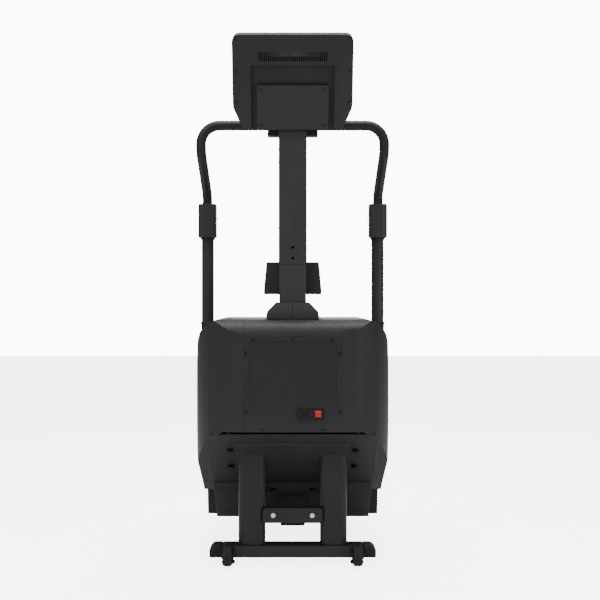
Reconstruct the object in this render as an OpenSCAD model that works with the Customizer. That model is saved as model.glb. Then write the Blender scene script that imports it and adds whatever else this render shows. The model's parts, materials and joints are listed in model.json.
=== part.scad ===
/* [Stairs] */
// Distance between neighbouring steps along the chain
step_pitch = 250; // [248:1:250]
// Slope of the staircase in degrees
incline = 40; // [39.5:0.5:40]
// Width of one step
step_w = 444; // [420:2:444]
// Thickness of a tread
tread_t = 14; // [10:1:16]
// Free gap left between neighbouring steps
step_gap = 5; // [4:0.5:6]

/* [Body] */
// Wall thickness of the plastic covers
wall = 4; // [3:0.5:4]
// Half width of the front cover between its two seams
cover_half = 167; // [150:1:175]
// Inner half width of the stair well
well_half = 229; // [228.5:0.5:230]
// Height of the crown of the body
crown_z = 865; // [860:1:868]

/* [Base] */
// Length of the front stabilizer tube with its caps
stabilizer_w = 582; // [560:1:600]
// Diameter of a levelling foot
foot_d = 48; // [40:1:52]
// Diameter of a transport wheel
wheel_d = 72; // [60:1:72]
// Width of one leg
leg_w = 94; // [80:1:96]

/* [Mast and handlebar] */
// Width of the upper mast tube
mast_w = 97; // [90:1:100]
// Diameter of the handlebar tube
bar_d = 35; // [30:1:36]
// Diameter of a handrail post
post_d = 45; // [38:1:46]

/* [Console] */
// Width of the console
console_w = 410; // [390:1:420]
// Height of the console
console_h = 320; // [318:1:320]
// Depth of the console with its bezel
console_t = 70; // [70:1:72]
// Backward tilt of the console in degrees
console_tilt = 20; // [19:1:20]

/* [Hidden] */
$fn = 48;

charcoal = [0.21, 0.21, 0.22];
dark = [0.12, 0.12, 0.13];
steel = [0.6, 0.6, 0.62];

// Staircase directions in the Y-Z plane: up the slope, and square out of it
up = [-cos(incline), sin(incline)];
out = [sin(incline), cos(incline)];
low_shaft = [133, 298];
top_shaft = low_shaft + 2 * step_pitch * up;
sprocket_r = step_pitch / PI;
tread_run = step_pitch * cos(incline);
step_rise = step_pitch * sin(incline);
nosing = tread_run * sin(incline) * out;

// Underside plate, top face, from its upper front end to its lower rear end
plate_top = [-435, 466];
plate_end = [-22, 108];
plate_t = 4;
plate_slope = (plate_end[1] - plate_top[1]) / (plate_end[0] - plate_top[0]);
function plate_z(y) = plate_top[1] + plate_slope * (y - plate_top[0]);
plate_drop = plate_t * sqrt(1 + plate_slope * plate_slope);
flange_drop = 6 * sqrt(1 + plate_slope * plate_slope);

pan_z = 90;
pan_t = 3;
foot_front = [226, -330];
foot_rear = [170, 350];
wheel_at = [224.5, -412, 44];
wheel_w = 32;
fly_at = [-58, 459];
fly_r = 110;
drive_pulley_r = 85;
fly_pulley_r = 25;
belt_x = [294, 306];
post_at = [313, -140];
console_at = [0, -410, 1512];
bar_y = -322;
bar_z = 1540;
bend_r = 65;
bar_half = 323;
power_at = [61, 538];

module both_sides() {
    children();
    mirror([1, 0, 0]) children();
}

// An outline in the Y-Z plane, extruded along X
module side_plate(points, x0, x1) {
    translate([x0, 0, 0]) rotate([90, 0, 90]) linear_extrude(x1 - x0) polygon(points);
}

module rod_x(x0, x1, y, z, r) {
    translate([x0, y, z]) rotate([0, 90, 0]) cylinder(h = x1 - x0, r = r);
}

module round_rect(w, d, r) {
    square([w - 2 * r, d], center = true);
    square([w, d - 2 * r], center = true);
    for (x = [-1, 1]) {
        for (y = [-1, 1]) translate([x * (w / 2 - r), y * (d / 2 - r)]) circle(r);
    }
}

function bezier(a, b, c, steps) =
    [for (i = [0 : steps]) let (t = i / steps) (1 - t) * (1 - t) * a + 2 * t * (1 - t) * b + t * t * c];

function mirrored(half) = concat(half, [for (i = [len(half) - 1 : -1 : 0]) [-half[i][0], half[i][1]]]);

// Body outlines: plan, front and side views, each inset by the same wall
function plan_half(t) = concat(
    [for (a = [0 : 10 : 90]) [cover_half + (179 - t) * pow(sin(a), 0.8), -180 - (290 - t) * pow(cos(a), 0.8)]],
    [[346 - t, 280], [340 - t, 350], [322 - t, 405], [300 - t, 430 - t]]);
function front_half(t) = concat(
    [[325 - t, 40], [325 - t, 250], [340 - t, 400], [346 - t, 540], [346 - t, 660]],
    bezier([339 - t, 765], [329 - t, crown_z - t - 2], [205, crown_z - t], 8));
function side_outline(t, low) = concat(
    [[26, 105 - low], [420 - t, 105 - low], [430 - t, 130], [430 - t, 392 - t]],
    bezier([418 - t, 408 - t], [400, 420 - t], [375, 430 - t * 1.3], 3),
    [[-138, 863 - t], [-400, 863 - t]],
    bezier([-400, 863 - t], [-462 + t, 858 - t], [-470 + t, 800], 7),
    [[-470 + t, 476 - low], [-455, 476 - low], [-160, 231 - low], [0, 203 - low]]);

module body_volume(t, low) {
    intersection() {
        linear_extrude(900) polygon(mirrored(plan_half(t)));
        translate([0, 450, 0]) rotate([90, 0, 0]) linear_extrude(940) polygon(mirrored(front_half(t)));
        side_plate(side_outline(t, low), -360, 360);
    }
}

// Hollow shell, open below between the edges of the underside plate and closed beside it
module body_shell() {
    difference() {
        body_volume(0, 0);
        body_volume(wall, -wall);
        intersection() {
            body_volume(wall, 40);
            translate([-289, -500, 0]) cube([578, 1000, 900]);
        }
        side_plate([[-437, plate_z(-437) + 1], [-20, plate_z(-20) + 1], [-20, plate_z(-20) - plate_drop - 1],
            [-437, plate_z(-437) - plate_drop - 1]], -288.6, 288.6);
        translate([-well_half, -134, 0]) cube([2 * well_half, 700, 900]);
    }
}

module front_stabilizer() {
    half = stabilizer_w / 2 - 46;
    color(charcoal) difference() {
        translate([-half, -370, 28]) cube([2 * half, 80, 40]);
        translate([-half - 1, -367, 31]) cube([2 * half + 2, 74, 34]);
        both_sides() translate([foot_front[0], foot_front[1], 20]) cylinder(h = 20, r = 6.05);
    }
}

module stabilizer_caps() {
    color(dark) both_sides() difference() {
        translate([stabilizer_w / 2 - 46, -370, 27]) cube([46, 81, 42]);
        translate([stabilizer_w / 2 - 14, -380, 69]) rotate([0, 45, 0]) cube([40, 100, 40]);
    }
}

module front_legs() {
    color(charcoal) both_sides() difference() {
        translate([143, -330, 68]) linear_extrude(340) round_rect(leg_w, 60, 22);
        translate([143, -330, 60]) linear_extrude(360) round_rect(leg_w - 6, 54, 19);
        side_plate([[-400, plate_z(-400) - plate_drop - flange_drop], [-250, plate_z(-250) - plate_drop
            - flange_drop], [-250, 600], [-400, 600]], 80, 210);
    }
}

module leg_flange() {
    y0 = -402;
    y1 = -272;
    color(charcoal) {
        side_plate([[y0, plate_z(y0) - plate_drop - 0.05], [y0, plate_z(y0) - plate_drop - flange_drop],
            [y1, plate_z(y1) - plate_drop - flange_drop], [y1, plate_z(y1) - plate_drop - 0.05]], -198, 198);
    }
}

module leg_brace() {
    color(charcoal) difference() {
        translate([0, -341, 174]) rotate([90, 0, 0]) linear_extrude(29) round_rect(208, 52, 12);
        both_sides() translate([143, -330, 100]) linear_extrude(200) round_rect(leg_w, 60, 22);
        both_sides() translate([68, -300, 174.5]) rotate([90, 0, 0]) cylinder(h = 100, r = 5);
    }
}

module brace_plugs() {
    color("white") both_sides() translate([68, -341, 174.5]) rotate([90, 0, 0]) {
        cylinder(h = 29, r = 5);
        translate([0, 0, 29]) cylinder(h = 2.5, r = 8);
    }
}

module underside_plate() {
    color(charcoal)
        side_plate([plate_top, plate_end, plate_end - [0, plate_drop], plate_top - [0, plate_drop]], -288, 288);
}

module plate_bolts() {
    color(dark) both_sides() for (y = [-366, -290]) translate([219, y, plate_z(y) - plate_drop])
        rotate([atan(plate_slope), 0, 0]) {
            translate([0, 0, -2]) cylinder(h = 2, r = 13);
            translate([0, 0, -10]) cylinder(h = 8, r = 9.8, $fn = 6);
        }
}

module belly_pan() {
    color(charcoal) side_plate([plate_end, [133, pan_z], [322, pan_z], [322, pan_z - pan_t],
        [133, pan_z - pan_t], plate_end - [0, pan_t]], -260, 260);
}

module bottom_crossbeam() {
    color(charcoal) difference() {
        side_plate([[-207, 226], [-167, 226], [-207, plate_z(-207) - plate_drop]], -285, 285);
        both_sides() translate([73, -190, 238]) rotate([90, 0, 0]) linear_extrude(40) square([22, 7], center = true);
    }
}

module spine_strut() {
    color(dark) side_plate([[-165, plate_z(-165) - plate_drop - 0.1], [-24, plate_z(-24) - plate_drop - 0.1],
        [-21, 101], [-10, 98],
        [325, 60], [325, 28], [-12, 66], [-165, 184]], -46, 46);
}

module rear_base() {
    color(charcoal) difference() {
        union() {
            translate([-200, 325, 24]) cube([400, 50, 40]);
            both_sides() translate([150, 325, 64]) cube([40, 50, 40]);
            translate([-261, 325, 104]) cube([522, 50, 40]);
        }
        translate([-201, 328, 27]) cube([402, 44, 34]);
        both_sides() translate([foot_rear[0], foot_rear[1], 20]) cylinder(h = 20, r = 6.05);
    }
}

module boarding_step() {
    color(dark) {
        difference() {
            translate([-222, 352, 203]) cube([444, 167.4, 22]);
            translate([-218, 356, 200]) cube([436, 159, 21]);
        }
        both_sides() side_plate([[327, 144], [375, 144], [513, 205], [513, 222], [355, 222], [352, 205]], 150, 156);
    }
}

module side_frames() {
    color(steel) both_sides() difference() {
        side_plate([plate_end, [60, 108], [300, 104], [410, 104],
            [410, 384], [-150, 846], [-398, 846], [-428, 800], [-428, plate_z(-428)]], 262, 268);
        side_plate([[-200, 460], [-60, 342], [60, 440], [-120, 590]], 260, 270);
        for (s = [low_shaft, top_shaft]) rod_x(260, 270, s[0], s[1], 20);
        rod_x(260, 270, fly_at[0], fly_at[1], 9);
    }
}

module shaft_bearings() {
    color(steel) both_sides() for (s = [low_shaft, top_shaft]) difference() {
        rod_x(268, 284, s[0], s[1], 34);
        rod_x(267, 285, s[0], s[1], 12.55);
    }
}

module stair_skirts() {
    rim = sprocket_r + 180;
    foot = sprocket_r + 25;
    low_end = low_shaft - 160 * up;
    high_end = low_shaft + 560 * up;
    color(charcoal) both_sides() side_plate([low_end + foot * out, high_end + foot * out,
        high_end + rim * out, low_end + rim * out], 226, 228.8);
}

module cover_cuts() {
    translate([-50, -402, 800]) cube([100, 60, 100]);
    translate([power_at[0] - 38, -480, power_at[1] - 14]) cube([78, 30, 28]);
}

module front_cover() {
    color(charcoal) difference() {
        intersection() {
            body_shell();
            translate([-cover_half, -480, 0]) cube([2 * cover_half, 200, 847]);
        }
        cover_cuts();
        translate([-150, -471, 560]) cube([300, 2.5, 225]);
    }
}

module top_cover() {
    color(charcoal) {
        difference() {
            intersection() {
                body_shell();
                translate([-400, -480, 847.4]) cube([800, 346, 50]);
            }
            cover_cuts();
            both_sides() translate([post_at[0], post_at[1], 740]) cylinder(h = 200, r = post_d / 2 + 1.5);
        }
        translate([-225.5, -138, 792]) cube([451, 4, 67.5]);
    }
}

module side_shell() {
    difference() {
        body_shell();
        translate([-400, -500, -1]) cube([400 + cover_half + 0.6, 1000, 1000]);
        translate([-400, -480, 847]) cube([800, 900, 100]);
        translate([post_at[0], post_at[1], 740]) cylinder(h = 200, r = post_d / 2 + 1.5);
    }
}

module left_side_shell() {
    color(charcoal) mirror([1, 0, 0]) side_shell();
}

module right_side_shell() {
    color(charcoal) side_shell();
}

module console_frame() {
    translate(console_at) rotate([console_tilt, 0, 0]) children();
}

module screw_head(r) {
    rotate([90, 0, 0]) difference() {
        cylinder(h = 3, r = r);
        translate([0, 0, 1.5]) cylinder(h = 3, r = r * 0.45, $fn = 6);
    }
}

module casing_screws() {
    color(dark) {
        for (x = [-134, 0, 134]) translate([x, -470, 832 - 40]) screw_head(5);
        both_sides() for (z = [745, 545]) translate([160, -470, z]) screw_head(5);
        console_frame() {
            both_sides() for (v = [95, 200, 305]) translate([192, 0, v]) screw_head(4);
            both_sides() for (v = [16, 135]) translate([108, -4, v]) screw_head(4);
        }
    }
}

module power_plate() {
    color(dark) difference() {
        translate([15, -474, 519.5]) cube([92, 4, 37]);
        translate([power_at[0] + 14.5, -480, power_at[1] - 14]) cube([22, 12, 28]);
        translate([30, -480, 529]) cube([26, 8.5, 19]);
        for (x = [23, 63]) translate([x, -470, power_at[1] + 0.5]) rotate([90, 0, 0]) cylinder(h = 9, r = 1.8);
    }
    color(dark) difference() {
        translate([24, -470, 525]) cube([38, 24, 26]);
        translate([30, -471, 529]) cube([26, 18, 19]);
    }
    color(dark) for (x = [power_at[0] + 12, power_at[0] + 36.6]) translate([x, -470, power_at[1] - 6])
        cube([2.4, 12, 12]);
    color(steel) rod_x(power_at[0] + 12, power_at[0] + 39, -466, power_at[1], 1.5);
}

module power_rocker() {
    color("red") difference() {
        side_plate([[-470, 526], [-479, 528], [-475.5, power_at[1]], [-476.5, 550], [-470, 550.5],
            [-462, power_at[1] + 3], [-462, power_at[1] - 3]], power_at[0] + 15.2, power_at[0] + 35.8);
        rod_x(power_at[0] + 14, power_at[0] + 37, -466, power_at[1], 1.55);
    }
}

module control_box() {
    color(dark) difference() {
        translate([-150, -462, 478]) cube([130, 30, 36]);
        translate([-146, -458, 482]) cube([122, 22, 28]);
    }
}

module brake_magnet() {
    y = fly_at[0] - fly_r;
    z = fly_at[1];
    color(dark) difference() {
        translate([268.5, y - 12, z - 38]) cube([24.5, 44, 36]);
        translate([274.5, y - 4, z - 50]) cube([17, 60, 60]);
    }
}

module upper_crossmember() {
    color(steel) difference() {
        translate([-261.6, -415, 810]) cube([523.2, 72, 36]);
        translate([-262, -411, 814]) cube([524, 64, 28]);
    }
}

module mast_lower_post() {
    color(charcoal) difference() {
        translate([-46.5, -398, 846]) cube([93, 52, 204]);
        translate([-43.5, -395, 840]) cube([87, 46, 220]);
    }
}

module mast_upper_tube() {
    color(charcoal) difference() {
        translate([-mast_w / 2, -400, 1050]) cube([mast_w, 56, 600]);
        translate([-mast_w / 2 + 4, -396, 1040]) cube([mast_w - 8, 48, 620]);
        translate([0, 0, -1]) console_frame() translate([-300, -300, 0]) cube([600, 600, 400]);
        for (z = [1069.7, 1107.1]) translate([0, -390, z]) rotate([90, 0, 0]) cylinder(h = 20, r = 4.5);
    }
}

module mast_boot() {
    color(dark) difference() {
        intersection() {
            translate([0, -300, 0]) rotate([90, 0, 0]) linear_extrude(160)
                polygon(mirrored([[84, 850], [91, 868], [88, 885], [58, 917]]));
            side_plate([[-428, 840], [-430, 866], [-424, 886], [-406, 917], [-338, 917], [-322, 885],
                [-318, 840]], -100, 100);
        }
        translate([-47, -398.5, 800]) cube([94, 53, 200]);
        translate([-0.4, -440, 800]) cube([0.8, 140, 200]);
        body_volume(0, 0);
    }
}

module accessory_tray() {
    color(charcoal) difference() {
        intersection() {
            translate([-101, -344, 945]) cube([202, 104, 113]);
            translate([0, -200, 0]) rotate([90, 0, 0]) linear_extrude(200)
                polygon(mirrored([[101, 945], [101, 960], [92, 1058]]));
        }
        both_sides() translate([46, -291, 955]) cylinder(h = 120, r = 37);
    }
}

// Console outline with a chamfered foot and round corners, inset by a wall
module console_outline(t) {
    half = console_w / 2;
    polygon(mirrored(concat([[150 - t, t]], bezier([150 - t, t], [169 - t, t], [177 - t, 14], 4),
        [[half - 6 - t, 64]], bezier([half - 6 - t, 64], [half - t, 75], [half - t, 92], 4),
        bezier([half - t, console_h - 26], [half - t, console_h - t], [half - 26, console_h - t], 6))));
}

module console_back() {
    color(charcoal) console_frame() difference() {
        translate([0, 60, 0]) rotate([90, 0, 0]) linear_extrude(60) console_outline(0);
        translate([0, 61, 0]) rotate([90, 0, 0]) linear_extrude(41) console_outline(4);
        translate([-142, -1, -1]) cube([284, 15, 219]);
        translate([-46, 13, -1]) cube([92, 38, 20]);
        for (i = [-17.5 : 1 : 17.5]) translate([i * 6.5 - 1.6, -1, 232]) cube([3.2, 30, 31]);
    }
}

module console_bezel() {
    color(dark) console_frame() difference() {
        translate([0, console_t, 0]) rotate([90, 0, 0]) linear_extrude(console_t - 60.2) console_outline(0);
        translate([-160, 55, 100]) cube([320, 20, 185]);
        both_sides() translate([45, 50, 55]) rotate([-90, 0, 0]) cylinder(h = 30, r = 13.3);
    }
}

module console_screen() {
    color([0.05, 0.06, 0.08]) console_frame() translate([-159.8, 61, 100.2]) cube([319.6, 5, 184.6]);
}

module hub_cover() {
    color(charcoal) console_frame() difference() {
        translate([-123, -4, 0.5]) cube([246, 17.8, 151]);
        translate([-119, 0, 0]) cube([238, 20, 147]);
    }
}

module console_bracket() {
    color(dark) console_frame() {
        difference() {
            translate([-43, 20.2, -38]) cube([86, 28.8, 190]);
            translate([-39, 24, -40]) cube([78, 21.2, 200]);
        }
    }
}

module button_shape(x) {
    console_frame() translate([x, 58, 55]) rotate([-90, 0, 0]) {
        cylinder(h = 15, r = 13);
        cylinder(h = 1.6, r = 15.5);
    }
}

module start_button() {
    color("green") button_shape(-45);
}

module stop_button() {
    color("red") button_shape(45);
}

// Sideways offset of the handlebar arms, turned in two equal bends
arm_shift = [post_at[0] - bar_half, 164];
arm_bend_r = 50;
arm_bend = 50;
arm_run = (norm(arm_shift) - 2 * arm_bend_r * (1 - cos(arm_bend))) / sin(arm_bend);
arm_drop = 2 * arm_bend_r * sin(arm_bend) + arm_run * cos(arm_bend);

// A bend in the vertical plane, from straight down towards +X
module arm_bend_piece() {
    translate([arm_bend_r, 0, 0]) rotate([90, 0, 0]) rotate([0, 0, 180])
        rotate_extrude(angle = arm_bend) translate([arm_bend_r, 0]) circle(bar_d / 2);
}

// Straight runs are a hair thinner than the bends and enter them by a lap
lap = 1;
run_r = bar_d / 2 - 0.1;
neck = 6;

module arm() {
    dx = arm_bend_r * (1 - cos(arm_bend));
    dz = arm_bend_r * sin(arm_bend);
    arm_bend_piece();
    translate([dx, 0, -dz]) rotate([0, 180 - arm_bend, 0]) translate([0, 0, -lap])
        cylinder(h = arm_run + 2 * lap, r = run_r);
    translate([norm(arm_shift), 0, -arm_drop]) rotate([0, 180, 0]) arm_bend_piece();
    translate([norm(arm_shift), 0, -arm_drop - 42]) cylinder(h = 42 + lap, r = run_r);
    translate([0, 0, -lap]) cylinder(h = neck + 2 * lap, r = run_r);
}

module handlebar() {
    color(dark) {
        rod_x(-bar_half + bend_r - lap, bar_half - bend_r + lap, bar_y, bar_z, run_r);
        both_sides() {
            translate([bar_half - bend_r, bar_y, bar_z - bend_r]) rotate([90, 0, 0])
                rotate_extrude(angle = 90) translate([bend_r, 0]) circle(bar_d / 2);
            translate([bar_half, bar_y, bar_z - bend_r - neck])
                rotate([0, 0, atan2(arm_shift[1], arm_shift[0])]) arm();
        }
    }
}

module handlebar_clamp() {
    color(dark) difference() {
        translate([-88, -344, 1500]) cube([176, 43, 62]);
        rod_x(-100, 100, bar_y, bar_z, bar_d / 2);
        translate([0, 0, -2]) console_frame() translate([-300, -300, 0]) cube([600, 372.5, 400]);
    }
}

module grip_sleeves() {
    color(charcoal) both_sides() difference() {
        translate([post_at[0], -150, 1154]) linear_extrude(123) round_rect(66, 75, 20);
        translate([post_at[0], -158, 1240]) cylinder(h = 60, r = bar_d / 2);
        translate([post_at[0], post_at[1], 1150]) cylinder(h = 64, r = post_d / 2);
    }
}

module handrail_posts() {
    color(charcoal) both_sides() difference() {
        translate([post_at[0], post_at[1], 700]) cylinder(h = 514, r = post_d / 2);
        translate([post_at[0], post_at[1], 690]) cylinder(h = 510, r = post_d / 2 - 3);
    }
}

module post_brackets() {
    color(steel) both_sides() difference() {
        translate([268.2, post_at[1] - 30, 712]) cube([26, 60, 70]);
        translate([post_at[0], post_at[1], 700]) cylinder(h = 100, r = post_d / 2);
    }
}

module wheel_forks() {
    y = wheel_at[1];
    z = wheel_at[2];
    color(dark) both_sides() translate([wheel_at[0], 0, 0]) {
        for (x = [-20.5, 16.5]) difference() {
            union() {
                side_plate([[-370, 32], [-370, 66], [y, z + 11], [y, z - 11]], x, x + 4);
                rod_x(x, x + 4, y, z, 11);
            }
            rod_x(x - 1, x + 5, y, z, 6);
        }
        rod_x(-23, 23, y, z, 6);
    }
}

module wheel(side) {
    color(dark) translate([side * wheel_at[0], wheel_at[1], wheel_at[2]]) rotate([0, 90, 0]) rotate_extrude()
        polygon([[6.06, -wheel_w / 2], [26, -wheel_w / 2], [wheel_d / 2 - 3, -wheel_w / 2], [wheel_d / 2,
        -wheel_w / 2 + 3], [wheel_d / 2, wheel_w / 2 - 3], [wheel_d / 2 - 3, wheel_w / 2], [6.06, wheel_w / 2]]);
}

module left_wheel() {
    wheel(-1);
}

module right_wheel() {
    wheel(1);
}

module foot(x, y) {
    color(dark) translate([x, y, 0]) {
        cylinder(h = 12, r = foot_d / 2);
        cylinder(h = 18, r = 10, $fn = 6);
        cylinder(h = 42, r = 6);
    }
}

module front_left_foot() {
    foot(-foot_front[0], foot_front[1]);
}

module front_right_foot() {
    foot(foot_front[0], foot_front[1]);
}

module rear_left_foot() {
    foot(-foot_rear[0], foot_rear[1]);
}

module rear_right_foot() {
    foot(foot_rear[0], foot_rear[1]);
}

// A toothed disc whose gullets hold the chain's rollers
module sprocket(x) {
    teeth = 20;
    difference() {
        rod_x(x - 3.5, x + 3.5, 0, 0, sprocket_r + 4);
        for (i = [0 : teeth - 1]) rotate([i * 360 / teeth + 9, 0, 0]) translate([x - 5, sprocket_r + 3, 0])
            rotate([0, 90, 0]) cylinder(h = 10, r = 7, $fn = 16);
    }
}

module shaft_set(at) {
    color(steel) translate([0, at[0], at[1]]) {
        rod_x(-290, 290, 0, 0, 12.5);
        both_sides() {
            sprocket(243);
            rod_x(232, 254, 0, 0, 22);
        }
    }
}

module upper_shaft() {
    shaft_set(top_shaft);
    color(dark) difference() {
        rod_x(290, 310, top_shaft[0], top_shaft[1], drive_pulley_r + 4);
        difference() {
            rod_x(292.5, 307.5, top_shaft[0], top_shaft[1], drive_pulley_r + 6);
            rod_x(292, 308, top_shaft[0], top_shaft[1], drive_pulley_r);
        }
        for (a = [0 : 60 : 300]) translate([0, top_shaft[0], top_shaft[1]]) rotate([a, 0, 0])
            rod_x(289, 311, 50, 0, 18);
    }
}

module lower_shaft() {
    shaft_set(low_shaft);
}

module flywheel() {
    color(steel) {
        difference() {
            rod_x(276, 290, fly_at[0], fly_at[1], fly_r);
            for (a = [30 : 60 : 330]) translate([0, fly_at[0], fly_at[1]]) rotate([a, 0, 0])
                rod_x(275, 291, 60, 0, 14);
        }
        rod_x(290, 292.5, fly_at[0], fly_at[1], fly_pulley_r + 4);
        rod_x(292.5, 307.5, fly_at[0], fly_at[1], fly_pulley_r);
        rod_x(307.5, 310, fly_at[0], fly_at[1], fly_pulley_r + 4);
        rod_x(255, 276, fly_at[0], fly_at[1], 8.9);
    }
}

// Open belt around the two pulleys: a loop of outer and inner tangents
belt_gap = 0.4;
belt_t = 3;
belt_line = fly_at - top_shaft;
belt_len = norm(belt_line);
belt_dir = atan2(belt_line[1], belt_line[0]);
belt_cone = asin((drive_pulley_r - fly_pulley_r) / belt_len);
module belt_outline(t) {
    big = drive_pulley_r + t;
    small = fly_pulley_r + t;
    turn = 90 - belt_cone;
    polygon(concat(
        [for (i = [0 : 40]) let (a = turn + i * (360 - 2 * turn) / 40) big * [cos(a), sin(a)]],
        [for (i = [0 : 24]) let (a = -turn + i * 2 * turn / 24) [belt_len, 0] + small * [cos(a), sin(a)]]));
}

module drive_belt() {
    color(dark) translate([belt_x[0], top_shaft[0], top_shaft[1]]) rotate([belt_dir, 0, 0])
        rotate([90, 0, 90]) linear_extrude(belt_x[1] - belt_x[0]) difference() {
            belt_outline(belt_gap + belt_t);
            belt_outline(belt_gap);
        }
}

module chain_band(r_out, r_in, x0, x1) {
    translate([x0, low_shaft[0], low_shaft[1]]) rotate([180 - incline, 0, 0]) rotate([90, 0, 90])
        linear_extrude(x1 - x0) difference() {
            union() {
                circle(r_out);
                translate([2 * step_pitch, 0]) circle(r_out);
                translate([0, -r_out]) square([2 * step_pitch, 2 * r_out]);
            }
            circle(r_in);
            translate([2 * step_pitch, 0]) circle(r_in);
            translate([0, -r_in]) square([2 * step_pitch, 2 * r_in]);
        }
}

module step_chains() {
    pins = [for (i = [5 : 15]) i * step_pitch / 10];
    color(steel) both_sides() {
        chain_band(sprocket_r + 9, sprocket_r - 9, 233.5, 236);
        chain_band(sprocket_r + 9, sprocket_r - 9, 248, 251);
        for (d = pins) for (side = [-1, 1]) {
            at = low_shaft + d * up + side * sprocket_r * out;
            rod_x(233.5, 251, at[0], at[1], 4);
        }
    }
}

// One step: tread, riser, end gussets and the axle that the chain carries
module step_shape() {
    half = step_w / 2;
    back = nosing - [tread_run - step_gap, 0];
    foot = nosing - [0, step_rise - step_gap];
    side_plate([back, nosing - [4, 0], nosing - [0, 4], foot, foot - [3, 0], nosing - [3, tread_t],
        back - [0, tread_t]], -half, half);
    both_sides() side_plate([back, nosing - [4, 0], nosing - [0, 4], foot], half - 5, half);
    both_sides() rod_x(half - 5, half, 0, 0, 14);
    rod_x(-half - 10, half + 10, 0, 0, 8);
}

module step_climbing(pitches) {
    at = low_shaft + pitches * step_pitch * up + sprocket_r * out;
    color(dark) translate([0, at[0], at[1]]) step_shape();
}

module step_returning(pitches) {
    at = low_shaft + pitches * step_pitch * up - sprocket_r * out;
    color(dark) translate([0, at[0], at[1]]) rotate([180, 0, 0]) step_shape();
}

module step_1() {
    step_climbing(2);
}

module step_2() {
    step_climbing(1);
}

module step_3() {
    step_climbing(0);
}

module step_4() {
    step_returning(0);
}

module step_5() {
    step_returning(1);
}

module step_6() {
    step_returning(2);
}

front_stabilizer();
stabilizer_caps();
front_legs();
leg_flange();
leg_brace();
brace_plugs();
underside_plate();
plate_bolts();
belly_pan();
bottom_crossbeam();
spine_strut();
rear_base();
boarding_step();
side_frames();
shaft_bearings();
stair_skirts();
front_cover();
top_cover();
left_side_shell();
right_side_shell();
casing_screws();
power_plate();
power_rocker();
control_box();
brake_magnet();
upper_crossmember();
mast_lower_post();
mast_upper_tube();
mast_boot();
accessory_tray();
console_back();
console_bezel();
console_screen();
hub_cover();
console_bracket();
start_button();
stop_button();
handlebar();
handlebar_clamp();
grip_sleeves();
handrail_posts();
post_brackets();
wheel_forks();
left_wheel();
right_wheel();
front_left_foot();
front_right_foot();
rear_left_foot();
rear_right_foot();
upper_shaft();
lower_shaft();
flywheel();
drive_belt();
step_chains();
step_1();
step_2();
step_3();
step_4();
step_5();
step_6();
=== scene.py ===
import json
import math

import bmesh
import bpy
from mathutils import Matrix, Vector


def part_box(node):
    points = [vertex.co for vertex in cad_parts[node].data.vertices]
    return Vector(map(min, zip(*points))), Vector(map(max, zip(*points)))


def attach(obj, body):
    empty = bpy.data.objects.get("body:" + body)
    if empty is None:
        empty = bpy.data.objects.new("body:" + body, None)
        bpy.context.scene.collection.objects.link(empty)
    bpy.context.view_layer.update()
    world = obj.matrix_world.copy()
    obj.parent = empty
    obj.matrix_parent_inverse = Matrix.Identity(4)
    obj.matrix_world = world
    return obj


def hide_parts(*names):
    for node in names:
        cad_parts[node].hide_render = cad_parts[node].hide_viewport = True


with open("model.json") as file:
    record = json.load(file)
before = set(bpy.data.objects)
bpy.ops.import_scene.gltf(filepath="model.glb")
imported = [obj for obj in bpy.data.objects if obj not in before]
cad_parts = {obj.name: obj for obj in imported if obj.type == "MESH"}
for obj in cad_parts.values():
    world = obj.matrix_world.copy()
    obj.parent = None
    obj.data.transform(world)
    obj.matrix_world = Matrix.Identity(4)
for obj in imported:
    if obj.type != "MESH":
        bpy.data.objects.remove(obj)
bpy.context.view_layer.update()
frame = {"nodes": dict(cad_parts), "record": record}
BODIES = frame["record"]["behaviour"]["bodies"]
NODE_BODY = {node: body for body, nodes in BODIES.items() for node in nodes}
NODE_SLOT = {part["node"]: part["material_slot"] for part in frame["record"]["subparts"]}
MM = 0.001
TAU = 2 * math.pi


# ---------------------------------------------------------------- camera, lights, floor
CAMERA_PLACE = (0, -4.20, 0.925)
CAMERA_LENS = 66
CAMERA_SHIFT = 0.0122
WORLD_LIGHT = 0.24  # strength of the world as a light
WORLD_SEEN = 14.0  # strength of the world as the camera sees it
FLOOR_HALF = 14
FLOOR_GLOW = 5.0  # the floor's own light, for the camera only
# name: place, target, size in metres and watts
LIGHTS = {
    "key": ((-2.2, -3.2, 3.4), (0, 0, 0.9), (2.4, 2.0), 82),
    "fill": ((2.8, -2.6, 1.8), (0, 0, 0.8), (2.0, 2.4), 36),
    "top": ((0, -0.4, 3.9), (0, 0, 0.9), (2.6, 2.6), 230),
    "rear": ((0.6, 3.4, 2.4), (0, 0, 1.0), (2.4, 2.0), 60),
}


def aim(obj, target):
    obj.rotation_euler = (Vector(target) - obj.location).to_track_quat("-Z", "Y").to_euler()


def add_camera():
    """A level camera that faces the front of the machine."""
    data = bpy.data.cameras.new("camera")
    data.lens = CAMERA_LENS
    data.shift_x = CAMERA_SHIFT
    cam = bpy.data.objects.new("camera", data)
    cam.location = CAMERA_PLACE
    cam.rotation_euler = (math.radians(90), 0, 0)
    bpy.context.scene.collection.objects.link(cam)
    bpy.context.scene.camera = cam


def area_light(name, place, target, size, watts):
    data = bpy.data.lights.new(name, "AREA")
    data.shape = "RECTANGLE"
    data.size, data.size_y = size
    data.energy = watts
    lamp = bpy.data.objects.new(name, data)
    lamp.location = place
    aim(lamp, target)
    bpy.context.scene.collection.objects.link(lamp)


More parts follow.
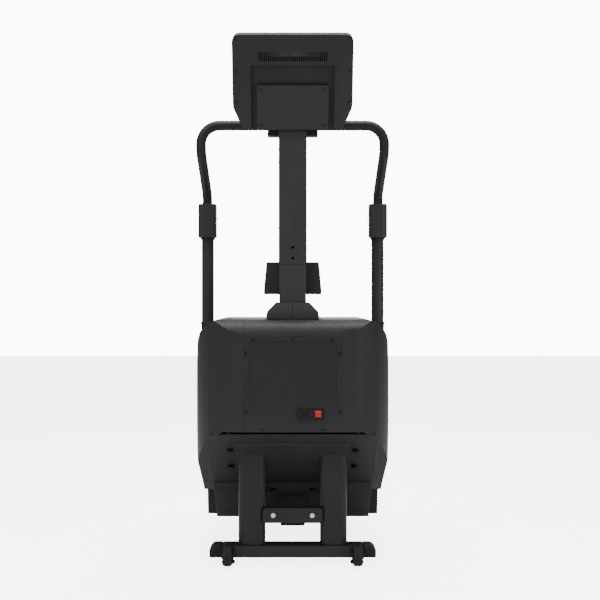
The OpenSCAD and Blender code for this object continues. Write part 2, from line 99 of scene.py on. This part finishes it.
def add_world():
    """An even light that is weak on the object and looks white behind it."""
    world = bpy.data.worlds.new("studio")
    bpy.context.scene.world = world
    world.use_nodes = True
    tree = world.node_tree
    lit = tree.nodes["Background"]
    lit.inputs["Color"].default_value = (1, 1, 1, 1)
    lit.inputs["Strength"].default_value = WORLD_LIGHT
    seen = tree.nodes.new("ShaderNodeBackground")
    seen.inputs["Strength"].default_value = WORLD_SEEN
    path = tree.nodes.new("ShaderNodeLightPath")
    either = tree.nodes.new("ShaderNodeMixShader")
    tree.links.new(path.outputs["Is Camera Ray"], either.inputs["Fac"])
    tree.links.new(lit.outputs["Background"], either.inputs[1])
    tree.links.new(seen.outputs["Background"], either.inputs[2])
    tree.links.new(either.outputs["Shader"], tree.nodes["World Output"].inputs["Surface"])


def add_floor():
    """A pale floor that looks white to the camera without lighting the object."""
    mesh = bpy.data.meshes.new("floor")
    half = FLOOR_HALF
    corners = [(-half, -half, 0), (half, -half, 0), (half, half, 0), (-half, half, 0)]
    mesh.from_pydata(corners, [], [(0, 1, 2, 3)])
    floor = bpy.data.objects.new("floor", mesh)
    bpy.context.scene.collection.objects.link(floor)
    paper = surface("floor_paper", (0.90, 0.90, 0.93), 0.7, grain=40, bump=0.02, mottle=0.01)
    nodes, links = paper.node_tree.nodes, paper.node_tree.links
    shader = nodes["Principled BSDF"]
    shader.inputs["Emission Color"].default_value = (0.95, 0.95, 1, 1)
    glow = nodes.new("ShaderNodeMath")
    glow.operation = "MULTIPLY"
    glow.inputs[1].default_value = FLOOR_GLOW
    sight = nodes.new("ShaderNodeLightPath")
    links.new(sight.outputs["Is Camera Ray"], glow.inputs[0])
    links.new(glow.outputs["Value"], shader.inputs["Emission Strength"])
    mesh.materials.append(paper)


def add_studio():
    add_world()
    for name, (place, target, size, watts) in LIGHTS.items():
        area_light(name, place, target, size, watts)
    add_floor()


# ---------------------------------------------------------------- materials
MATT_SPECULAR = 0.22
GLOSSY_SPECULAR = 0.5


def surface(name, color, rough, grain=900, bump=0.1, mottle=0.12, metallic=0.0, coat=0.0, wear=0.0,
            brushed=None, depth=0.0004):
    """A moulded, painted or metal surface: colour drift, grain in bump and roughness, lighter worn edges."""
    mat = bpy.data.materials.new(name)
    mat.use_nodes = True
    nodes, links = mat.node_tree.nodes, mat.node_tree.links
    shader = nodes["Principled BSDF"]
    shader.inputs["Metallic"].default_value = metallic
    shader.inputs["Coat Weight"].default_value = coat
    specular = GLOSSY_SPECULAR if coat or metallic else MATT_SPECULAR
    shader.inputs["Specular IOR Level"].default_value = specular
    coords = nodes.new("ShaderNodeTexCoord")
    scaled = nodes.new("ShaderNodeMapping")
    scaled.inputs["Scale"].default_value = brushed or (1, 1, 1)
    links.new(coords.outputs["Object"], scaled.inputs["Vector"])

    def noise(scale, detail):
        tex = nodes.new("ShaderNodeTexNoise")
        tex.inputs["Scale"].default_value = scale
        tex.inputs["Detail"].default_value = detail
        links.new(scaled.outputs["Vector"], tex.inputs["Vector"])
        return tex.outputs["Fac"]

    def ramp(source, low, high, out_low, out_high):
        span = nodes.new("ShaderNodeMapRange")
        for key, value in (("From Min", low), ("From Max", high), ("To Min", out_low), ("To Max", out_high)):
            span.inputs[key].default_value = value
        links.new(source, span.inputs["Value"])
        return span.outputs["Result"]

    cloud, fine = noise(7, 4), noise(grain, 3)
    tone = nodes.new("ShaderNodeMix")
    tone.data_type = "RGBA"
    tone.inputs["A"].default_value = (*[c * (1 - mottle) for c in color], 1)
    tone.inputs["B"].default_value = (*[min(1, c * (1 + mottle)) for c in color], 1)
    links.new(ramp(cloud, 0.3, 0.7, 0, 1), tone.inputs["Factor"])
    result = tone.outputs["Result"]
    if wear:
        shape = nodes.new("ShaderNodeNewGeometry")
        edge = nodes.new("ShaderNodeMix")
        edge.data_type = "RGBA"
        edge.inputs["B"].default_value = (*[min(1, c * 2.2 + 0.02) for c in color], 1)
        links.new(result, edge.inputs["A"])
        links.new(ramp(shape.outputs["Pointiness"], 0.51, 0.58, 0, wear), edge.inputs["Factor"])
        result = edge.outputs["Result"]
    links.new(result, shader.inputs["Base Color"])
    links.new(ramp(fine, 0.3, 0.7, rough - 0.07, rough + 0.07), shader.inputs["Roughness"])
    relief = nodes.new("ShaderNodeBump")
    relief.inputs["Strength"].default_value = bump
    relief.inputs["Distance"].default_value = depth
    links.new(fine, relief.inputs["Height"])
    links.new(relief.outputs["Normal"], shader.inputs["Normal"])
    return mat


MATERIALS = {
    "frame_paint": surface("frame_paint", (0.0120, 0.0128, 0.0142), 0.42, 1400, 0.25, wear=0.25),
    "cap_plastic": surface("cap_plastic", (0.009, 0.009, 0.010), 0.62, 700, 0.6, wear=0.15),
    # the brace's plugs are near white: painted light, standing for the bright light seen through holes in
    # the brace
    "plug_white": surface("plug_white", (0.72, 0.72, 0.73), 0.4, 500, 0.1, mottle=0.03),
    "bolt_black": surface("bolt_black", (0.010, 0.010, 0.011), 0.35, 1200, 0.2, metallic=0.6, wear=0.4),
    "inner_steel": surface("inner_steel", (0.09, 0.09, 0.095), 0.45, 900, 0.2, metallic=0.4),
    "skirt_plastic": surface("skirt_plastic", (0.014, 0.014, 0.015), 0.55, 900, 0.4),
    "shell_plastic": surface("shell_plastic", (0.0170, 0.0176, 0.0188), 0.46, 1100, 0.35,
                             mottle=0.06, wear=0.15),
    "inlet_plastic": surface("inlet_plastic", (0.010, 0.010, 0.011), 0.38, 800, 0.15),
    "rocker_red": surface("rocker_red", (0.50, 0.012, 0.010), 0.25, 400, 0.05, mottle=0.05, coat=0.4),
    "button_green": surface("button_green", (0.02, 0.28, 0.05), 0.28, 400, 0.05, mottle=0.05, coat=0.4),
    "magnet_steel": surface("magnet_steel", (0.3, 0.3, 0.31), 0.4, 600, 0.2, metallic=0.8),
    "mast_paint": surface("mast_paint", (0.0225, 0.0225, 0.0215), 0.40, 1400, 0.25, wear=0.2),
    "bezel_plastic": surface("bezel_plastic", (0.008, 0.008, 0.009), 0.35, 900, 0.2, wear=0.1),
    "screen_glass": surface("screen_glass", (0.004, 0.005, 0.007), 0.12, 60, 0.01, mottle=0.2, coat=1.0),
    "grip_rubber": surface("grip_rubber", (0.012, 0.012, 0.013), 0.48, 1300, 0.5, wear=0.1),
    "wheel_rubber": surface("wheel_rubber", (0.013, 0.013, 0.014), 0.7, 600, 0.5),
    "foot_rubber": surface("foot_rubber", (0.012, 0.012, 0.013), 0.72, 500, 0.5),
    "shaft_steel": surface("shaft_steel", (0.45, 0.45, 0.47), 0.3, 500, 0.1,
                           metallic=1.0, brushed=(0.06, 1, 1)),
    "flywheel_iron": surface("flywheel_iron", (0.16, 0.16, 0.17), 0.42, 400, 0.3, metallic=0.9),
    "belt_rubber": surface("belt_rubber", (0.010, 0.010, 0.010), 0.75, 700, 0.4),
    "step_plastic": surface("step_plastic", (0.018, 0.018, 0.020), 0.55, 800, 0.5, wear=0.25),
}
# near black: the colour of the console's dark seam, and painted shade in the front cover's slots and behind
# its seams
GASKET_AND_PAINTED_SHADE = surface("gasket_and_painted_shade", (0.006, 0.006, 0.006), 0.7, 900, 0.2)
MAT_RUBBER = surface("mat_rubber", (0.016, 0.016, 0.017), 0.78, 500, 0.7)
BRASS = surface("contact_brass", (0.55, 0.42, 0.20), 0.3, 300, 0.1, metallic=1.0)
SCREEN_PANEL = surface("screen_panel", (0.02, 0.05, 0.07), 0.15, 90, 0.02, mottle=0.3, coat=1.0)


# ---------------------------------------------------------------- mesh helpers
SAME_POINT = 0.00002
SAME_PLANE = math.radians(0.8)
SHORTEST_EDGE = 0.000005
SHARP_CORNER = math.radians(30)


def publish(name, bm, body, slot, material=None, smooth=40, replaced=()):
    """Turns the mesh into a named piece on a body; corners over smooth degrees stay sharp."""
    mesh = bpy.data.meshes.new(name)
    bmesh.ops.recalc_face_normals(bm, faces=bm.faces)
    for face in bm.faces:
        face.smooth = True
    limit = math.radians(smooth)
    for edge in bm.edges:
        edge.smooth = len(edge.link_faces) == 2 and edge.calc_face_angle(0) < limit
    bm.to_mesh(mesh)
    bm.free()
    obj = bpy.data.objects.new(name, mesh)
    bpy.context.scene.collection.objects.link(obj)
    mesh.materials.append(material or MATERIALS[slot])
    even = obj.modifiers.new("even_normals", "WEIGHTED_NORMAL")
    even.keep_sharp = True
    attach(obj, body)
    if replaced:
        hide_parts(*replaced)


def dressed(node, radius, segments=2):
    """The CAD node's shape with its edges rounded by radius, in millimetres."""
    bm = bmesh.new()
    bm.from_mesh(frame["nodes"][node].data)
    bmesh.ops.remove_doubles(bm, verts=bm.verts, dist=SAME_POINT)
    bmesh.ops.dissolve_limit(bm, angle_limit=SAME_PLANE, verts=bm.verts, edges=bm.edges)
    edges = [e for e in bm.edges if len(e.link_faces) == 2 and e.calc_face_angle(0) > SHARP_CORNER]
    if edges:
        bmesh.ops.bevel(bm, geom=edges, offset=radius * MM, segments=segments, profile=0.5,
                        affect="EDGES", clamp_overlap=True, harden_normals=False)
    bmesh.ops.dissolve_degenerate(bm, dist=SHORTEST_EDGE, edges=bm.edges)
    publish("formed_" + node, bm, NODE_BODY[node], NODE_SLOT[node], smooth=35, replaced=(node,))


def lathe(bm, profile, place, axis, steps=64):
    """Turns (radius, along) pairs in millimetres about an axis through place."""
    turn = Vector((0, 0, 1)).rotation_difference(Vector(axis)).to_matrix().to_4x4()
    move = Matrix.Translation(place) @ turn
    rings = []
    for i in range(steps):
        c, s = math.cos(TAU * i / steps), math.sin(TAU * i / steps)
        rings.append([bm.verts.new(move @ Vector((r * c * MM, r * s * MM, z * MM))) for r, z in profile])
    count = len(profile)
    for i in range(steps):
        near, far = rings[i], rings[(i + 1) % steps]
        for j in range(count):
            k = (j + 1) % count
            bm.faces.new((near[j], near[k], far[k], far[j]))


def tube(bm, path, radius, sides=28):
    """A round tube along a list of points, with closed ends."""
    side = Vector((0, 1, 0))
    rings = []
    for i, point in enumerate(path):
        ahead = (path[min(i + 1, len(path) - 1)] - path[max(i - 1, 0)]).normalized()
        side = (side - ahead * side.dot(ahead)).normalized()
        other = ahead.cross(side)
        spokes = [math.cos(TAU * k / sides) * side + math.sin(TAU * k / sides) * other for k in range(sides)]
        rings.append([bm.verts.new(point + radius * spoke) for spoke in spokes])
    for near, far in zip(rings, rings[1:]):
        for k in range(sides):
            bm.faces.new((near[k], near[(k + 1) % sides], far[(k + 1) % sides], far[k]))
    bm.faces.new(rings[0])
    bm.faces.new(reversed(rings[-1]))


def slab(bm, low, high, turn=None):
    """A block between two corners in millimetres, as one part of a larger piece."""
    move = turn or Matrix.Identity(4)
    corner = [Vector(((low, high)[i][0], (low, high)[j][1], (low, high)[k][2])) * MM
              for i in (0, 1) for j in (0, 1) for k in (0, 1)]
    v = [bm.verts.new(move @ c) for c in corner]
    for f in ((0, 1, 3, 2), (4, 6, 7, 5), (0, 4, 5, 1), (2, 3, 7, 6), (0, 2, 6, 4), (1, 5, 7, 3)):
        bm.faces.new([v[i] for i in f])


def soften(bm, radius, segments=2):
    """Rounds every edge by radius, in millimetres."""
    bmesh.ops.bevel(bm, geom=list(bm.edges), offset=radius * MM, segments=segments, profile=0.5,
                    affect="EDGES", clamp_overlap=True)


# ---------------------------------------------------------------- pieces that keep the CAD shape
# the radius of each piece's edges, in millimetres
EDGE_RADII = {
    "front_stabilizer": 4, "stabilizer_caps": 5, "front_legs": 1.2, "leg_flange": 1.5, "leg_brace": 3,
    "brace_plugs": 1, "underside_plate": 1, "plate_bolts": 1, "belly_pan": 0.8, "bottom_crossbeam": 1.5,
    "spine_strut": 3, "rear_base": 3, "boarding_step": 3, "side_frames": 0.8, "shaft_bearings": 2,
    "stair_skirts": 0.8, "front_cover": 1.2, "top_cover": 1.2, "left_side_shell": 1.2,
    "right_side_shell": 1.2, "casing_screws": 0.5, "power_plate": 0.5, "power_rocker": 0.8, "control_box": 2,
    "brake_magnet": 1, "upper_crossmember": 2, "mast_lower_post": 4, "mast_upper_tube": 4,
    "mast_boot": 4, "accessory_tray": 4, "console_back": 1.0, "console_bezel": 2.5,
    "console_screen": 0.8, "hub_cover": 3, "console_bracket": 1.5, "start_button": 1.5, "stop_button": 1.5,
    "handlebar_clamp": 5, "grip_sleeves": 4, "handrail_posts": 0.8, "post_brackets": 2, "wheel_forks": 0.8,
}
for cad_node, edge_radius in EDGE_RADII.items():
    dressed(cad_node, edge_radius)
STEP_COUNT = 6
STEP_EDGE = 1.5
for i in range(1, STEP_COUNT + 1):
    dressed("step_%d" % i, STEP_EDGE)
TURNED_EDGE = 0.4
for cad_node in ("upper_shaft", "lower_shaft", "flywheel", "drive_belt", "step_chains"):
    dressed(cad_node, TURNED_EDGE, 1)


# ---------------------------------------------------------------- handlebar
def arc(centre, start, toward, radius, degrees, steps):
    """Points from centre + start * radius, turning to toward; start and toward are unit vectors."""
    turn = [math.radians(degrees) * i / steps for i in range(1, steps + 1)]
    return [centre + radius * (start * math.cos(a) + toward * math.sin(a)) for a in turn]


POST_RADIUS = 22.5
POST_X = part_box("handrail_posts")[1].x - POST_RADIUS * MM


def handlebar():
    """One bent tube: a crossbar, and on each side two opposite bends back and out to the post."""
    low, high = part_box("handlebar")
    radius = 0.0175
    bar_y, bar_z = low.y + radius, high.z - radius
    half = high.x - radius
    corner, bend, angle, bend_steps = 0.065, 0.05, 50, 10
    neck, reach, tail = 0.006, 0.164, 0.042
    shift = Vector((POST_X - half, reach, 0))
    out, down = shift.normalized(), Vector((0, 0, -1))
    path = [Vector((x, bar_y, bar_z)) for x in (0, 0.1, 0.2, half - corner)]
    path += arc(Vector((half - corner, bar_y, bar_z - corner)), Vector((0, 0, 1)), Vector((1, 0, 0)),
                corner, 90, 14)
    first = path[-1] + down * neck
    path.append(first)
    path += arc(first + out * bend, -out, down, bend, angle, bend_steps)
    a = math.radians(angle)
    run = (shift.length - 2 * bend * (1 - math.cos(a))) / math.sin(a)
    path.append(path[-1] + run * (out * math.sin(a) + down * math.cos(a)))
    drop = 2 * bend * math.sin(a) + run * math.cos(a)
    last = first + shift + down * drop
    centre = last - out * bend
    for i in range(bend_steps - 1, -1, -1):
        b = a * i / bend_steps
        path.append(centre + bend * (out * math.cos(b) - down * math.sin(b)))
    path.append(last + down * tail)
    whole = [Vector((-p.x, p.y, p.z)) for p in reversed(path[1:])] + path
    bm = bmesh.new()
    tube(bm, whole, radius, 32)
    publish("handlebar_tube", bm, "frame", "grip_rubber", replaced=("handlebar",))


handlebar()


# ---------------------------------------------------------------- wheels, feet
def wheels():
    """Transport wheels with a grooved tread and a recessed disc on each face."""
    for side in ("left", "right"):
        low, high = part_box(side + "_wheel")
        centre = (low + high) / 2
        bm = bmesh.new()
        near_face = [(6.1, -15), (12, -15), (13, -12), (22, -12), (25, -15.5), (31, -16), (33, -14)]
        tread = [(35.2, -9), (36, -6), (36, -2), (34.6, -1), (34.6, 1), (36, 2), (36, 6), (35.2, 9)]
        far_face = [(radius, -along) for radius, along in reversed(near_face)]
        lathe(bm, near_face + tread + far_face, centre, (1, 0, 0))
        publish(side + "_wheel_tyre", bm, side + "_wheel_body", "wheel_rubber", replaced=(side + "_wheel",))


def feet():
    """Levelling feet: a rubber pad, a threaded stud and a hexagonal nut."""
    for name in ("front_left", "front_right", "rear_left", "rear_right"):
        low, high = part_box(name + "_foot")
        place = Vector(((low.x + high.x) / 2, (low.y + high.y) / 2, 0))
        bm = bmesh.new()
        pad = [(0.01, 0), (22, 0), (24, 1.6), (24, 6), (22.6, 7), (22.6, 9), (17, 11.8), (0.01, 12)]
        thread = [(5.3 + 0.7 * (k % 2), 18 + 1.5 * k) for k in range(16)]
        nut = [(0.01, 12), (9.4, 12), (10, 12.8), (10, 17.2), (9.4, 18), (0.01, 18)]
        lathe(bm, pad, place, (0, 0, 1))
        lathe(bm, [(0.01, 17.8), (6, 17.8)] + thread + [(0.01, 41.5)], place, (0, 0, 1), 32)
        lathe(bm, nut, place, (0, 0, 1), 6)
        publish(name + "_foot_pad", bm, name + "_foot_body", "foot_rubber", replaced=(name + "_foot",))


wheels()
feet()


# ---------------------------------------------------------------- steps
def tread_mats():
    """A ribbed rubber mat on each tread, and a grip strip along its nosing."""
    for i in range(1, STEP_COUNT + 1):
        node = "step_%d" % i
        low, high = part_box(node)
        upright = i <= STEP_COUNT / 2
        sign = 1 if upright else -1
        edge = Vector((0, high.y if upright else low.y, high.z if upright else low.z))
        half, front, depth = 206, -16, 150
        rib, pitch, flank, thick, tall = 4, 9, 0.8, 1.0, 2.2
        outline = [(front - depth, 0)]
        for k in range(depth // pitch):
            y = front - depth + k * pitch
            outline += [(y, tall), (y + rib, tall), (y + rib + flank, thick), (y + pitch - flank, thick)]
        outline += [(front, thick), (front, 0)]
        bm = bmesh.new()
        ends = []
        for x in (-half, half):
            across = Vector((x * MM, 0, 0))
            ends.append([bm.verts.new(edge + sign * Vector((0, y, z)) * MM + across) for y, z in outline])
        count = len(outline)
        for k in range(count):
            j = (k + 1) % count
            bm.faces.new((ends[0][k], ends[0][j], ends[1][j], ends[1][k]))
        bm.faces.new(ends[0])
        bm.faces.new(reversed(ends[1]))
        publish("tread_mat_%d" % i, bm, node + "_body", "step_plastic", MAT_RUBBER, smooth=20)
        bm = bmesh.new()
        for k in range(3):
            slab(bm, (-half, -13 + 4 * k, 0), (half, -11 + 4 * k, 1.2),
                 Matrix.Translation(edge) @ Matrix.Diagonal((1, sign, sign, 1)))
        publish("nosing_strip_%d" % i, bm, node + "_body", "step_plastic", MATERIALS["inner_steel"],
                smooth=20)


tread_mats()


# ---------------------------------------------------------------- covers, mast and console details
def post_collars():
    """Rubber collars where the handrail posts enter the shell, rings under the sleeves and their screws."""
    low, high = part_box("handrail_posts")
    inner = POST_RADIUS + 0.1
    foot, brim, crown = 790, 834, 844
    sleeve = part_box("grip_sleeves")[0].z / MM
    collar = [(inner, foot), (POST_RADIUS + 1.3, foot), (POST_RADIUS + 1.3, brim),
              (POST_RADIUS + 4, brim + 2), (POST_RADIUS + 4, brim + 7), (POST_RADIUS + 2, crown),
              (inner, crown)]
    ring = [(inner, sleeve - 7), (POST_RADIUS + 2.5, sleeve - 7), (POST_RADIUS + 4.5, sleeve - 4),
            (POST_RADIUS + 4.5, sleeve - 0.2), (inner, sleeve - 0.2)]
    screw = [(0.01, 0), (5, 0), (5, 2), (3.6, 3), (2, 3), (2, 1.2), (0.01, 1.2)]
    screw_inset, screw_height = 0.0347, 1.225
    post_y = (low.y + high.y) / 2
    for name, side in (("left", -1), ("right", 1)):
        place = Vector((side * POST_X, post_y, 0))
        bm = bmesh.new()
        lathe(bm, collar, place, (0, 0, 1))
        lathe(bm, ring, place, (0, 0, 1))
        publish(name + "_post_collar", bm, "frame", "cap_plastic")
        bm = bmesh.new()
        lathe(bm, screw, Vector((side * (POST_X - screw_inset), post_y, screw_height)), (-side, 0, 0), 24)
        publish(name + "_sleeve_screw", bm, "frame", "bolt_black")


def inlet_contacts():
    """The three contacts in the mains inlet, and the two screws that hold it."""
    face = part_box("power_plate")[0].y
    front = face / MM
    bm = bmesh.new()
    for x, z in ((36, 536), (50, 536), (43, 541.5)):
        slab(bm, (x - 1, front + 6, z - 2), (x + 1, front + 19, z + 2))
    soften(bm, 0.4)
    publish("inlet_contacts", bm, "frame", "shaft_steel", BRASS)
    bm = bmesh.new()
    head = [(0.01, 0), (3.4, 0), (3.2, 1.2), (1.6, 1.9), (0.01, 1.0)]
    screw_height = 0.5385
    for x in (23, 63):
        lathe(bm, head, Vector((x * MM, face, screw_height)), (0, -1, 0), 28)
    publish("inlet_screws", bm, "frame", "bolt_black")


# the console's own axes: x across it, y through it from the back, z up its slope
CONSOLE_MOVE = Matrix.Translation((0, -0.410, 1.512)) @ Matrix.Rotation(math.radians(20), 4, "X")


def console_details():
    """A frame line on the console's back, a dark seam along its top and plain panels on its screen."""
    bm = bmesh.new()
    half, line, foot, head = 151, 3, 40, 226
    for x in (-half, half - line):
        slab(bm, (x, -1.2, foot), (x + line, 0.4, head), CONSOLE_MOVE)
    slab(bm, (-half, -1.2, head), (half, 0.4, head + line), CONSOLE_MOVE)
    soften(bm, 0.5)
    publish("console_frame_line", bm, "frame", "shell_plastic")
    bm = bmesh.new()
    slab(bm, (-140, 58.5, 303), (140, 62, 317.5), CONSOLE_MOVE)
    publish("console_seam", bm, "frame", "bezel_plastic", GASKET_AND_PAINTED_SHADE)
    bm = bmesh.new()
    left, behind, proud = -140, 65.9, 66.6
    for k in range(5):
        slab(bm, (left + 58 * k, behind, 116), (left + 46 + 58 * k, proud, 140), CONSOLE_MOVE)
    slab(bm, (left, behind, 152), (30, proud, 268), CONSOLE_MOVE)
    slab(bm, (42, behind, 152), (138, proud, 268), CONSOLE_MOVE)
    soften(bm, 0.3, 1)
    publish("screen_panels", bm, "frame", "screen_glass", SCREEN_PANEL)


def cap_ribs():
    """Upright ribs on the front of the stabilizer's end caps."""
    low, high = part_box("stabilizer_caps")
    bm = bmesh.new()
    for side in (-1, 1):
        for k in range(7):
            x = side * (high.x / MM - 10 - 5 * k)
            slab(bm, (x - 1, low.y / MM - 0.9, 34), (x + 1, low.y / MM + 0.5, 62))
    soften(bm, 0.35, 1)
    publish("cap_ribs", bm, "frame", "cap_plastic")


def paint_slot_shade():
    """Two near-black patches at the foot of the front cover: painted shade standing for two drain slots."""
    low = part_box("front_cover")[0]
    front, foot = low.y / MM, low.z / MM
    bm = bmesh.new()
    for x in (-104, 104):
        # a near-black patch on the cover's face: painted shade where a slot would be
        slab(bm, (x - 10, front - 0.6, foot + 6), (x + 10, front + 1, foot + 11))
    soften(bm, 0.4, 1)
    publish("slot_shade_patches", bm, "frame", "shell_plastic", GASKET_AND_PAINTED_SHADE)


def seam_backings_painted_shade():
    """The covers lap behind their seams, so no light shows through them; the near-black strips there are
    painted shade inside each seam.
    """
    low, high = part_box("front_cover")
    front, foot, head = low.y / MM, low.z / MM + 4, 805
    bm = bmesh.new()
    for side in (-1, 1):
        x = side * high.x / MM
        # near-black strip behind the seam: it blocks light, and its colour is painted shade inside the seam
        slab(bm, (x - 8, front + 4.2, foot), (x + 8, front + 6.2, head))
    soften(bm, 0.3, 1)
    publish("seam_backings_painted_shade", bm, "frame", "shell_plastic", GASKET_AND_PAINTED_SHADE)


def cover_arch():
    """A raised arched line over the recessed panel of the front cover."""
    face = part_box("front_cover")[0].y
    half, rise, foot, reach, steps = 0.142, 0.040, 0.765, 80, 24
    angles = [math.radians(-reach + 2 * reach * k / steps) for k in range(steps + 1)]
    path = [Vector((math.sin(a) * half, face - 0.0004, foot + rise * math.cos(a))) for a in angles]
    bm = bmesh.new()
    tube(bm, path, 0.0012, 8)
    publish("cover_arch", bm, "frame", "shell_plastic")


def mast_hole_rims():
    """A rim round each of the two bolt holes in the mast."""
    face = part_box("mast_upper_tube")[0].y
    rim = [(4.45, 0.4), (6.4, 0.4), (6.4, -0.4), (5.4, -0.9), (4.45, -0.9)]
    bm = bmesh.new()
    for z in (1.0697, 1.1071):
        lathe(bm, rim, Vector((0, face, z)), (0, 1, 0), 32)
    publish("mast_hole_rims", bm, "frame", "bolt_black")


post_collars()
inlet_contacts()
console_details()
cap_ribs()
paint_slot_shade()
mast_hole_rims()
seam_backings_painted_shade()
cover_arch()
add_camera()
add_studio()
